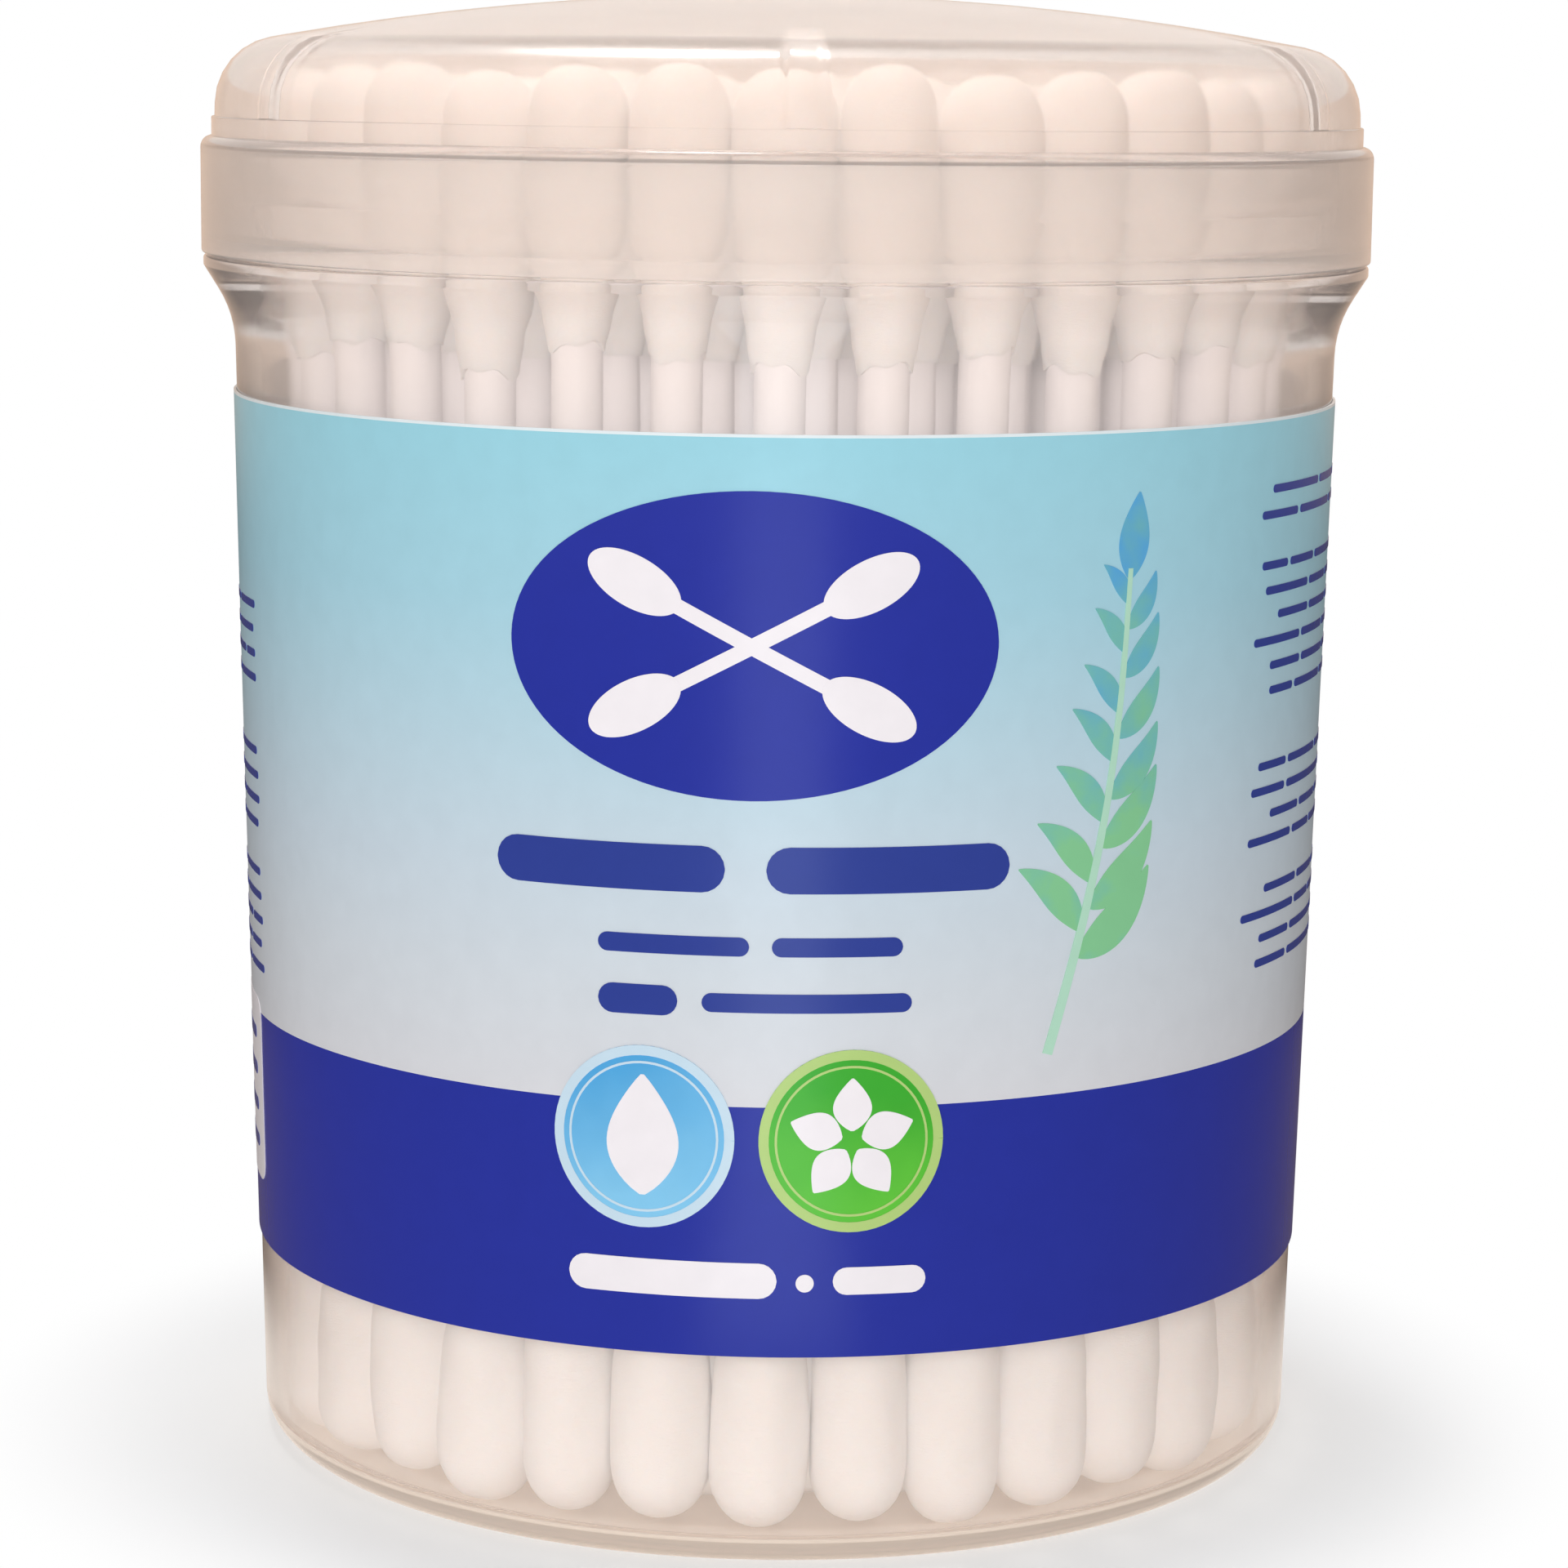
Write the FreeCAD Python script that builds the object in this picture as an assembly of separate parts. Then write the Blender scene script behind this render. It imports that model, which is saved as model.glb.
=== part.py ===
import FreeCAD, Part
import math
import os

from FreeCAD import Vector

os.makedirs("parts", exist_ok=True)

# A round tub of cotton swabs. Sizes are in millimetres, +Z is up, and the origin is the middle of the base.
# The front, where the label's main panel is, faces -Y.

# Tub: a clear moulded cup whose wall leans outward so that it leaves its mould
tub_base_radius = 28.25  # outside of the wall where it would meet the table
wall_slope = 0.0204  # growth of the radius for each unit of height
tub_wall = 1.0
floor_thickness = 1.0
base_corner = 1.5  # outer rounding between wall and base
inner_corner = 0.9
foot_ring_width = 2.4  # flat ring that the tub stands on
recess_depth = 0.3  # hollow under the floor, inside the foot ring
neck_height = 5.5  # from the flange's top to the rim
neck_step = 0.45  # how far the neck stands outside the leaning wall
flange_edge = 0.5  # thickness of the flange at its outside
flange_flare = 2.6  # height over which the wall flares out to the flange
flare_rounding = 6.0  # hollow rounding where the flare starts
flange_inset = 0.1  # from the lid's skirt in to the flange's outside
neck_bead = 0.25  # how far the neck's snap bead stands out
neck_bead_height = 1.0
neck_bead_drop = 2.6  # from the rim down to the bead's middle
rim_rounding = 0.3
edge_rounding = 0.15  # on the flange and the lid's skirt

# Lid: a softer, milky cap
skirt_wall = 0.65
lid_bead = 0.25  # how far the skirt's inner bead stands in
lid_bead_height = 0.8
lid_bead_rise = 0.9  # from the skirt's bottom up to its bead's middle
snap_clearance = 0.05  # between the two beads as the lid passes
skirt_gap = 0.15  # from the flange up to the skirt
seat_clearance = 0.1  # from the rim up to the step that covers it
seat_width = 0.3  # how much of the neck's top the step covers
lid_wall = 0.75
shoulder_thickness = 0.65
shoulder_rounding = 0.6
collar_height = 1.0  # thicker ring just above the shoulder
collar_step = 0.17
lid_draft = 0.12  # how much narrower the lid's wall is at its top
crown_corner = 3.6  # rounding from the wall into the top
crown_rise = 2.4  # height of the gently domed top
crown_thickness = 0.8
head_gap = 0.2  # from the tallest swab up to the edge of the dome
rib_count = 6
rib_width = 1.9
rib_proud = 0.25
front_rib_turn = 1.6  # degrees from the front to the nearest rib

# Label: a printed film wrapped round the wall
label_bottom = 11.0
label_drop = 6.6  # from the flange down to the label's top
label_film = 0.12
label_gap = 0.02
label_lap = 5.0  # width of the overlap where the film's ends meet
label_lap_turn = 105.0  # degrees from +X to the middle of the overlap, at the back

# Swabs: a stick with a cotton bud wound on each end
swab_length = 72.6
stick_diameter = 2.5
bud_diameter = 4.6
bud_length = 14.0
bud_taper = 5.0  # length over which the cotton thins towards the stick
bud_lip = 0.3  # thickness of the cotton where it ends on the stick
tip_cotton = 1.0  # cotton beyond the end of the stick
rest_gap = 0.02
swab_lift = 0.6  # the most that a wedged swab stands above the floor
swab_reach = 5.02  # how far the tallest swab stands above the tub's rim
wall_clearance = 0.1  # from the outer ring of buds to the tub's wall
ring_clearance = 0.08  # from one ring of buds to the next
side_clearance = 0.16  # least gap between neighbours in a ring
splay = 0.03  # how much wider each ring stands at its top
ring_twist = 1.5  # degrees by which a ring's tops are turned against its bottoms
sway_share = 0.4  # share of the spare gap over which a swab wanders sideways
bottom_wave = 2.4  # radians of the uneven sway from one swab to the next, at their lower ends
top_wave = 3.7  # and at their upper ends
lift_wave = 2.1  # radians of the uneven lift from one swab to the next
front_swab_turn = -0.9  # degrees from the front to the nearest swab of the outer ring
ring_turn = 5.0  # degrees by which each ring starts further round than the one outside it


def wallRadius(height):
    return tub_base_radius + wall_slope * height


# Radii and heights that follow from the sizes above
swab_top = floor_thickness + rest_gap + swab_lift + swab_length
rim_height = swab_top - swab_reach
flange_top = rim_height - neck_height
flange_bottom = flange_top - flange_edge
label_top = flange_bottom - label_drop
neck_radius = wallRadius(flange_top) + neck_step
bead_radius = neck_radius + neck_bead
skirt_inner = bead_radius + snap_clearance + lid_bead
skirt_radius = skirt_inner + skirt_wall
skirt_bottom = flange_top + skirt_gap
flange_radius = skirt_radius - flange_inset
lid_inner = neck_radius - seat_width
lid_outer = lid_inner + lid_wall
seat_height = rim_height + seat_clearance
shoulder_top = seat_height + shoulder_thickness
collar_top = shoulder_top + collar_height
bud_radius = bud_diameter / 2
stick_radius = stick_diameter / 2
crown_edge = swab_top + head_gap + crown_thickness
dome_edge = lid_outer - lid_draft - crown_corner


def line(start, end):
    return Part.LineSegment(start, end).toShape()


def path(corners, closed=False):
    """Edges through corners (radius, height, rounding), each rounding an arc tangent to both of its sides."""
    points = [Vector(radius, 0, height) for radius, height, rounding in corners]
    edges = []
    arrivals = []
    departures = []
    for i, (point, corner) in enumerate(zip(points, corners)):
        rounding = corner[2]
        before = points[i - 1].sub(point)
        after = points[(i + 1) % len(points)].sub(point)
        if rounding == 0:
            arrivals.append(point)
            departures.append(point)
            continue
        before.normalize()
        after.normalize()
        half = before.getAngle(after) / 2
        bisector = before.add(after)
        bisector.normalize()
        run = rounding / math.tan(half)
        arrival = point.add(before * run)
        departure = point.add(after * run)
        middle = point.add(bisector * (rounding / math.sin(half) - rounding))
        edges.append(Part.Arc(arrival, middle, departure).toShape())
        arrivals.append(arrival)
        departures.append(departure)
    sides = len(points) if closed else len(points) - 1
    for i in range(sides):
        edges.append(line(departures[i], arrivals[(i + 1) % len(points)]))
    return edges


def spin(edges, degrees=360):
    """Solid swept about the Z axis by a closed profile."""
    face = Part.Face(Part.Wire(Part.__sortEdges__(edges)))
    return face.revolve(Vector(0, 0, 0), Vector(0, 0, 1), degrees)


def makeTub():
    foot_outer = tub_base_radius - base_corner
    foot_inner = foot_outer - foot_ring_width
    neck_inner = neck_radius - tub_wall
    bead_middle = rim_height - neck_bead_drop
    flare_start = flange_bottom - flange_flare
    corners = [
        (0, floor_thickness, 0),
        (0, recess_depth, 0),
        (foot_inner - recess_depth, recess_depth, 0),
        (foot_inner, 0, 0),
        (tub_base_radius, 0, base_corner),
        (wallRadius(flare_start), flare_start, flare_rounding),
        (flange_radius, flange_bottom, edge_rounding),
        (flange_radius, flange_top, edge_rounding),
        (neck_radius, flange_top, 0),
        (neck_radius, bead_middle - neck_bead_height / 2, 0),
        (bead_radius, bead_middle, 0),
        (neck_radius, bead_middle + neck_bead_height / 2, 0),
        (neck_radius, rim_height, rim_rounding),
        (neck_inner, rim_height, rim_rounding),
        (neck_inner, flange_bottom, 0),
        (wallRadius(flare_start) - tub_wall, flare_start, 0),
        (wallRadius(floor_thickness) - tub_wall, floor_thickness, inner_corner),
    ]
    return spin(path(corners, closed=True))


def plug(corners, radius, edge_height, rounding):
    """Solid up to the axis: corners from its base, a wall of that radius, a rounded corner and a shallow dome."""
    sphere = (dome_edge**2 + crown_rise**2) / (2 * crown_rise)
    edge_angle = math.asin(dome_edge / sphere)
    top_radius = radius - lid_draft
    corner_height = edge_height - math.tan(edge_angle) * (top_radius - dome_edge)
    wall = corners + [(top_radius, corner_height, rounding), (dome_edge, edge_height, 0)]
    apex = Vector(0, 0, edge_height + crown_rise)
    middle_drop = sphere * (1 - math.cos(edge_angle / 2))
    middle = Vector(sphere * math.sin(edge_angle / 2), 0, apex.z - middle_drop)
    dome = Part.Arc(Vector(dome_edge, 0, edge_height), middle, apex).toShape()
    foot = Vector(0, 0, corners[0][1])
    base = line(foot, Vector(corners[0][0], 0, foot.z))
    return spin(path(wall) + [dome, line(apex, foot), base])


def makeLid():
    collar_radius = lid_outer + collar_step
    bead_middle = skirt_bottom + lid_bead_rise
    outside = plug(
        [
            (skirt_radius - skirt_wall / 2, skirt_bottom, 0),
            (skirt_radius, skirt_bottom, edge_rounding),
            (skirt_radius, shoulder_top, shoulder_rounding),
            (collar_radius, shoulder_top, 0),
            (collar_radius, collar_top, 0),
            (lid_outer, collar_top, 0),
        ],
        lid_outer,
        crown_edge,
        crown_corner,
    )
    inside = plug(
        [
            (skirt_inner, skirt_bottom, 0),
            (skirt_inner, bead_middle - lid_bead_height / 2, 0),
            (skirt_inner - lid_bead, bead_middle, 0),
            (skirt_inner, bead_middle + lid_bead_height / 2, 0),
            (skirt_inner, seat_height, 0),
            (lid_inner, seat_height, 0),
        ],
        lid_inner,
        crown_edge - crown_thickness,
        crown_corner - crown_thickness,
    )
    return outside.fuse(makeRibs()).cut(inside).removeSplitter().Solids[0]


def makeRibs():
    """Flat upright ribs that stand out of the lid's wall and run up over its rounded corner."""
    rib_radius = lid_outer + rib_proud
    swollen = plug(
        [(rib_radius, collar_top, 0)], rib_radius, crown_edge + rib_proud, crown_corner + rib_proud
    )
    ribs = []
    for i in range(rib_count):
        corner = Vector(dome_edge, -rib_width / 2, collar_top)
        block = Part.makeBox(skirt_radius - dome_edge, rib_width, crown_edge, corner)
        turn = -90 + front_rib_turn + 360 * i / rib_count
        block.rotate(Vector(0, 0, 0), Vector(0, 0, 1), turn)
        ribs.append(swollen.common(block))
    return ribs


def makeLabel():
    def band(inner_gap, outer_gap, degrees):
        corners = [
            (wallRadius(label_bottom) + inner_gap, label_bottom, 0),
            (wallRadius(label_bottom) + outer_gap, label_bottom, 0),
            (wallRadius(label_top) + outer_gap, label_top, 0),
            (wallRadius(label_top) + inner_gap, label_top, 0),
        ]
        return spin(path(corners, closed=True), degrees)

    outside = label_gap + label_film
    sleeve = band(label_gap, outside, 360)
    lap_angle = math.degrees(label_lap / wallRadius(label_top))
    lap = band(outside, outside + label_film, lap_angle)
    lap.rotate(Vector(0, 0, 0), Vector(0, 0, 1), label_lap_turn - lap_angle / 2)
    return sleeve.fuse(lap).removeSplitter().Solids[0]


def makeStick():
    length = swab_length - 2 * tip_cotton
    return Part.makeCylinder(stick_radius, length, Vector(0, 0, tip_cotton))


def makeBud():
    """Cotton wound on the stick's lower end: a round tip, a straight body and a taper to a thin lip."""
    corners = [
        (0, 0, 0),
        (bud_radius, 0, bud_radius),
        (bud_radius, bud_length - bud_taper, 0),
        (stick_radius + bud_lip, bud_length, 0),
        (stick_radius, bud_length, 0),
        (stick_radius, tip_cotton, 0),
        (0, tip_cotton, 0),
    ]
    edges = [edge for edge in path(corners, closed=True) if edge.Length > 1e-6]
    return spin(edges)


def swabRings():
    """Radius and count of each ring of swabs from the wall inward, and at last the swab in the middle."""
    radius = wallRadius(floor_thickness + bud_radius) - tub_wall - wall_clearance - bud_radius
    pitch = bud_diameter + side_clearance
    rings = []
    while radius > pitch:
        rings.append((radius, int(math.pi / math.asin(pitch / (2 * radius)))))
        radius -= bud_diameter + ring_clearance
    rings.append((0, 1))
    return rings


def swabPlaces(ring, radius, count):
    """Turns a swab that stands on the origin to where each swab of the ring stands and leans."""
    places = []
    twist = math.radians(ring_twist) * (-1) ** ring
    spare = 2 * radius * math.sin(math.pi / count) - bud_diameter
    sway = sway_share * spare / 2 / radius if radius else 0
    for i in range(count):
        angle = math.radians(-90 + front_swab_turn + ring_turn * ring + 360 * i / count)
        bottom_angle = angle - twist / 2 + sway * math.sin(bottom_wave * i + ring)
        top_angle = angle + twist / 2 + sway * math.sin(top_wave * i + ring)
        lift = swab_lift * (1 + math.sin(lift_wave * i + ring)) / 2
        bottom = Vector(radius * math.cos(bottom_angle), radius * math.sin(bottom_angle), 0)
        top = Vector(radius * math.cos(top_angle), radius * math.sin(top_angle), 0) * (1 + splay)
        top.z = swab_length
        lean = FreeCAD.Rotation(Vector(0, 0, 1), top.sub(bottom))
        bottom.z = floor_thickness + rest_gap + lift
        places.append(FreeCAD.Placement(bottom, lean).toMatrix())
    return places


def group(piece, places):
    return Part.makeCompound([piece.transformed(place, True) for place in places])


pieces = {"tub": makeTub(), "lid": makeLid(), "label": makeLabel()}

stick = makeStick()
lower_bud = makeBud()
upper_bud = lower_bud.copy()
upper_bud.rotate(Vector(0, 0, swab_length / 2), Vector(1, 0, 0), 180)
swab_count = 0
for ring, (radius, count) in enumerate(swabRings()):
    places = swabPlaces(ring, radius, count)
    where = f"ring_{ring + 1}" if radius else "centre"
    pieces[f"sticks_{where}"] = group(stick, places)
    pieces[f"lower_buds_{where}"] = group(lower_bud, places)
    pieces[f"upper_buds_{where}"] = group(upper_bud, places)
    swab_count += count
print("swabs:", swab_count)

for name, shape in pieces.items():
    shape.exportStep(f"parts/{name}.step")
    print(name, "solids", len(shape.Solids), "valid", shape.isValid(), "volume", round(shape.Volume, 2))
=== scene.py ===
import bpy
import numpy as np
from mathutils import Matrix, Vector


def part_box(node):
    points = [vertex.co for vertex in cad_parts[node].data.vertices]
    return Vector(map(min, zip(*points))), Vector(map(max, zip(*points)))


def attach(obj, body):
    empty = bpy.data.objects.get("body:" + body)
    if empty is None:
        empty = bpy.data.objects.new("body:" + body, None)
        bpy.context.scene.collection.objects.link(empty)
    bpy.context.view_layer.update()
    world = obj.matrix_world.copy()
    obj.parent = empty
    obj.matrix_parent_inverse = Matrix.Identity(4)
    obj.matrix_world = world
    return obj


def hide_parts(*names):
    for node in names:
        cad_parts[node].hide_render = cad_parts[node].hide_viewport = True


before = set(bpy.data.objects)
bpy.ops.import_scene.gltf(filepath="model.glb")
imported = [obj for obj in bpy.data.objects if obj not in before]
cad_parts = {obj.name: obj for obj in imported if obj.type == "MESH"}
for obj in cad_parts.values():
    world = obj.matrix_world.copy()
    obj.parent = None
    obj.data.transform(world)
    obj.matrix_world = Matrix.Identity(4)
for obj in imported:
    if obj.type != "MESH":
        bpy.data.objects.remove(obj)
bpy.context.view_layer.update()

# Sizes below are in millimetres and are turned to metres when a mesh is made
mm = 0.001


def nodeBox(node):
    low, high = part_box(node)
    return np.array(low) / mm, np.array(high) / mm


tubLow, tubHigh = nodeBox("tub")
lidLow, lidHigh = nodeBox("lid")
labelLow, labelHigh = nodeBox("label")
print("frame: the tub is", np.round(tubHigh - tubLow, 2), "mm and the lid", np.round(lidHigh - lidLow, 2), "mm")


# Shapes

def unit(vector):
    return vector / np.linalg.norm(vector)


# Points of an open path through corners (radius, height, rounding). A rounded corner is an arc tangent to its
# two sides: its middle lies rounding / sin(half the corner's angle) along the bisector, and its points turn
# evenly round it.
def roundedPath(corners, steps=6):
    places = np.array(corners, float)[:, :2]
    rows = []
    for i, (radius, height, rounding) in enumerate(corners):
        if rounding == 0:
            rows.append(places[i:i + 1])
            continue
        back = unit(places[i - 1] - places[i])
        on = unit(places[i + 1] - places[i])
        half = np.arccos(back @ on) / 2
        middle = places[i] + unit(back + on) * rounding / np.sin(half)
        first = places[i] + back * rounding / np.tan(half) - middle
        last = places[i] + on * rounding / np.tan(half) - middle
        turn = np.pi - 2 * half
        share = np.linspace(0, 1, steps + 1)[:, None]
        rows.append(middle + (first * np.sin((1 - share) * turn) + last * np.sin(share * turn)) / np.sin(turn))
    return np.vstack(rows)


# Grid of a profile turned about the Z axis: x = radius * cos(angle), y = radius * sin(angle), z = height
def spun(profile, angles):
    radius, height = profile[:, 0:1], profile[:, 1:2]
    return np.stack([radius * np.cos(angles), radius * np.sin(angles), height + 0 * angles], -1)


# Points and faces of a closed skin over a grid (rows, columns, 3): each row is a ring, neighbouring rows are joined
# by quads, and the first and last row are closed by a fan of triangles to their mean point
def skin(grid):
    rows, columns = grid.shape[:2]
    poles = [grid[0].mean(0), grid[-1].mean(0)]
    points = np.vstack([grid.reshape(-1, 3), poles])
    row, column = np.meshgrid(np.arange(rows - 1), np.arange(columns), indexing="ij")
    here, beside = row * columns + column, row * columns + (column + 1) % columns
    quads = np.stack([here, beside, beside + columns, here + columns], -1).reshape(-1, 4)
    ring = np.arange(columns)
    onward = (ring + 1) % columns
    lowFan = np.stack([onward, ring, 0 * ring + rows * columns], -1)
    last = (rows - 1) * columns
    highFan = np.stack([last + ring, last + onward, 0 * ring + rows * columns + 1], -1)
    return points, quads, np.vstack([lowFan, highFan])


# One mesh object of several skins, in metres
def makePiece(name, body, skins, materials, replaced=(), pickMaterial=None, sharp=38):
    starts = np.cumsum([0] + [len(points) for points, quads, fans in skins])
    points = np.vstack([points for points, quads, fans in skins]) * mm
    faces = []
    for start, (skinPoints, quads, fans) in zip(starts, skins):
        faces += (quads + start).tolist() + (fans + start).tolist()
    mesh = bpy.data.meshes.new(name)
    mesh.from_pydata(points.tolist(), [], faces)
    mesh.shade_smooth()
    mesh.set_sharp_from_angle(angle=np.radians(sharp))
    for material in materials:
        mesh.materials.append(material)
    if pickMaterial is not None:
        middles = np.empty(len(mesh.polygons) * 3)
        mesh.polygons.foreach_get("center", middles)
        mesh.polygons.foreach_set("material_index", pickMaterial(middles.reshape(-1, 3) / mm).astype(np.int32))
    mesh.update()
    piece = bpy.data.objects.new(name, mesh)
    bpy.context.scene.collection.objects.link(piece)
    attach(piece, body)
    if replaced:
        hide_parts(*replaced)
    return piece


# Materials

def linear(hexColour):
    channels = np.array([int(hexColour[i:i + 2], 16) for i in (0, 2, 4)]) / 255
    curved = np.where(channels <= 0.04045, channels / 12.92, ((channels + 0.055) / 1.055) ** 2.4)
    return (*curved.tolist(), 1.0)


def addNode(tree, kind, inputs=None, **settings):
    node = tree.nodes.new("ShaderNode" + kind)
    for name, value in settings.items():
        setattr(node, name, value)
    for name, value in (inputs or {}).items():
        if isinstance(value, bpy.types.NodeSocket):
            tree.links.new(value, node.inputs[name])
        else:
            node.inputs[name].default_value = value
    return node


def newMaterial(name):
    material = bpy.data.materials.new(name)
    material.use_nodes = True
    material.node_tree.nodes.clear()
    return material, material.node_tree


# Object coordinates in millimetres, stretched by the given factors
def placeInMm(tree, stretch=(1, 1, 1)):
    place = addNode(tree, "TexCoord").outputs["Object"]
    scale = [factor / mm for factor in stretch]
    return addNode(tree, "Mapping", {"Vector": place, "Scale": scale}).outputs["Vector"]


def finishMaterial(tree, surface, volume=None):
    output = addNode(tree, "OutputMaterial", {"Surface": surface})
    if volume is not None:
        tree.links.new(volume, output.inputs["Volume"])


# Lets a share of each lamp's light pass straight through a surface, tinted by a colour, as a thin or loose
# material does
def passLamps(tree, surface, share, colour=(1, 1, 1, 1)):
    clear = addNode(tree, "BsdfTransparent", {"Color": colour})
    lampRay = addNode(tree, "LightPath").outputs["Is Shadow Ray"]
    passed = addNode(tree, "Math", {0: lampRay, 1: share}, operation="MULTIPLY").outputs[0]
    return addNode(tree, "MixShader", {0: passed, 1: surface, 2: clear.outputs[0]}).outputs[0]


# Clear or milky moulded plastic: the light of lamps passes straight through it, so that what is inside is lit
def mouldedPlastic(name, look):
    material, tree = newMaterial(name)
    place = placeInMm(tree)
    flow = addNode(tree, "TexNoise", {"Vector": place, "Scale": 1 / look["waveSize"], "Detail": 1.0})
    grain = addNode(tree, "TexNoise", {"Vector": place, "Scale": 1 / look["grainSize"], "Detail": 2.0})
    wave = addNode(tree, "Bump", {"Height": flow.outputs["Fac"], "Distance": look["waveDepth"] * mm, "Strength": 1.0})
    bump = addNode(tree, "Bump", {
        "Height": grain.outputs["Fac"], "Distance": look["grainDepth"] * mm, "Strength": 1.0,
        "Normal": wave.outputs["Normal"],
    })
    plastic = addNode(tree, "BsdfPrincipled", {
        "Base Color": linear(look["colour"]),
        "Roughness": look["roughness"],
        "IOR": look["ior"],
        "Transmission Weight": look["clear"],
        "Normal": bump.outputs["Normal"],
    })
    mixed = passLamps(tree, plastic.outputs[0], 1.0, linear(look["lampColour"]))
    volume = addNode(tree, "VolumeAbsorption", {
        "Color": linear(look["depthColour"]), "Density": look["depthPerMetre"],
    })
    finishMaterial(tree, mixed, volume.outputs[0])
    return material


# Tub

# Clear polypropylene, injection moulded: glossy, a little hazy, and beige where the eye looks along the wall
clearPolypropylene = mouldedPlastic("clearMouldedPolypropylene", {
    "colour": "FDFAF8", "clear": 0.88, "roughness": 0.07, "ior": 1.46, "lampColour": "FEFDFC",
    "depthColour": "D2A080", "depthPerMetre": 35, "waveSize": 9.0, "waveDepth": 0.02,
    "grainSize": 0.8, "grainDepth": 0.0005,
})
# The same plastic in the base, where it is thick and cloudy
cloudyPolypropylene = mouldedPlastic("cloudyMouldedPolypropylene", {
    "colour": "F6E9DC", "clear": 0.5, "roughness": 0.1, "ior": 1.49, "lampColour": "FEFDFC",
    "depthColour": "D2A080", "depthPerMetre": 20, "waveSize": 9.0, "waveDepth": 0.02,
    "grainSize": 0.8, "grainDepth": 0.0005,
})

tubForm = {
    "columns": 240,
    "slope": 0.0204,  # how much the wall leans outward
    "wall": 1.0,
    "floor": 1.0,
    "baseRadius": 28.25,
    "baseCorner": 1.5,
    "innerCorner": 0.9,
    "footWidth": 2.4,
    "recess": 0.3,
    "neckHeight": 5.5,
    "neckStep": 0.45,
    "flangeEdge": 0.5,
    "flangeFlare": 2.6,  # height over which the wall flares out to the flange
    "flareRounding": 6.0,
    "bead": 0.25,
    "beadHeight": 1.0,
    "beadDrop": 2.6,
    "rimRounding": 0.3,
    "edgeRounding": 0.15,
}


def wallRadius(height):
    return tubForm["baseRadius"] + tubForm["slope"] * height


def tubProfile(form):
    rim, flangeRadius = tubHigh[2], tubHigh[0]
    flangeTop = rim - form["neckHeight"]
    flangeBottom = flangeTop - form["flangeEdge"]
    neckRadius = wallRadius(flangeTop) + form["neckStep"]
    neckInner = neckRadius - form["wall"]
    bead = rim - form["beadDrop"]
    footOuter = form["baseRadius"] - form["baseCorner"]
    footInner = footOuter - form["footWidth"]
    flareStart = flangeBottom - form["flangeFlare"]
    rounding = form["edgeRounding"]
    return roundedPath([
        (0.02, form["recess"], 0),
        (footInner - form["recess"], form["recess"], 0),
        (footInner, 0, 0),
        (form["baseRadius"], 0, form["baseCorner"]),
        (wallRadius(flareStart), flareStart, form["flareRounding"]),
        (flangeRadius, flangeBottom, rounding),
        (flangeRadius, flangeTop, rounding),
        (neckRadius, flangeTop, 0),
        (neckRadius, bead - form["beadHeight"] / 2, 0),
        (neckRadius + form["bead"], bead, rounding),
        (neckRadius, bead + form["beadHeight"] / 2, 0),
        (neckRadius, rim, form["rimRounding"]),
        (neckInner, rim, form["rimRounding"]),
        (neckInner, flangeBottom, 0),
        (wallRadius(flareStart) - form["wall"], flareStart, 0),
        (wallRadius(form["floor"]) - form["wall"], form["floor"], form["innerCorner"]),
        (0.02, form["floor"], 0),
    ])


def evenAngles(count):
    return np.linspace(0, 2 * np.pi, count, endpoint=False)


def isBase(middles):
    return middles[:, 2] < tubForm["floor"] + 0.5


makePiece(
    "clearTub", "tub", [skin(spun(tubProfile(tubForm), evenAngles(tubForm["columns"])))],
    [clearPolypropylene, cloudyPolypropylene], ["tub"], isBase,
)
print("tub made")


# Lid

# Milky low-density polyethylene: the upper wall and top are glossy and let the buds show, and the skirt is frosted
milkyPolyethylene = mouldedPlastic("milkyMouldedPolyethylene", {
    "colour": "FBF2EC", "clear": 0.80, "roughness": 0.12, "ior": 1.51, "lampColour": "FAF8F7",
    "depthColour": "C9AA94", "depthPerMetre": 34, "waveSize": 7.0, "waveDepth": 0.03,
    "grainSize": 0.8, "grainDepth": 0.001,
})
frostedPolyethylene = mouldedPlastic("frostedMouldedPolyethylene", {
    "colour": "FBF5F1", "clear": 0.78, "roughness": 0.17, "ior": 1.51, "lampColour": "FBF9F8",
    "depthColour": "C9AA94", "depthPerMetre": 34, "waveSize": 7.0, "waveDepth": 0.03,
    "grainSize": 0.4, "grainDepth": 0.004,
})

lidForm = {
    "columns": 180,
    "skirtWall": 0.65,
    "skirtEdge": 0.15,
    "bead": 0.25,
    "beadHeight": 0.8,
    "beadRise": 0.9,
    "seatGap": 0.1,  # from the tub's rim up to the step that covers it
    "shoulder": 0.65,
    "shoulderRounding": 0.6,
    "collarHeight": 1.0,
    "collarStep": 0.17,
    "collarRounding": 0.08,
    "wallInset": 0.75,  # from the skirt's outside in to the upper wall's outside
    "wall": 0.75,
    "draft": 0.12,
    "crownCorner": 3.6,
    "crownRise": 2.4,
    "crownThickness": 0.8,
    "domeRows": 10,
    "ribCount": 6,
    "ribWidth": 1.9,
    "ribProud": 0.25,
    "ribTurn": 1.6,  # degrees from the front to the nearest rib
    "ribSide": 0.45,  # width of a rib's sloping side
    "ribRunOut": 2.0,  # length over which a rib sinks into the top
}


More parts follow.
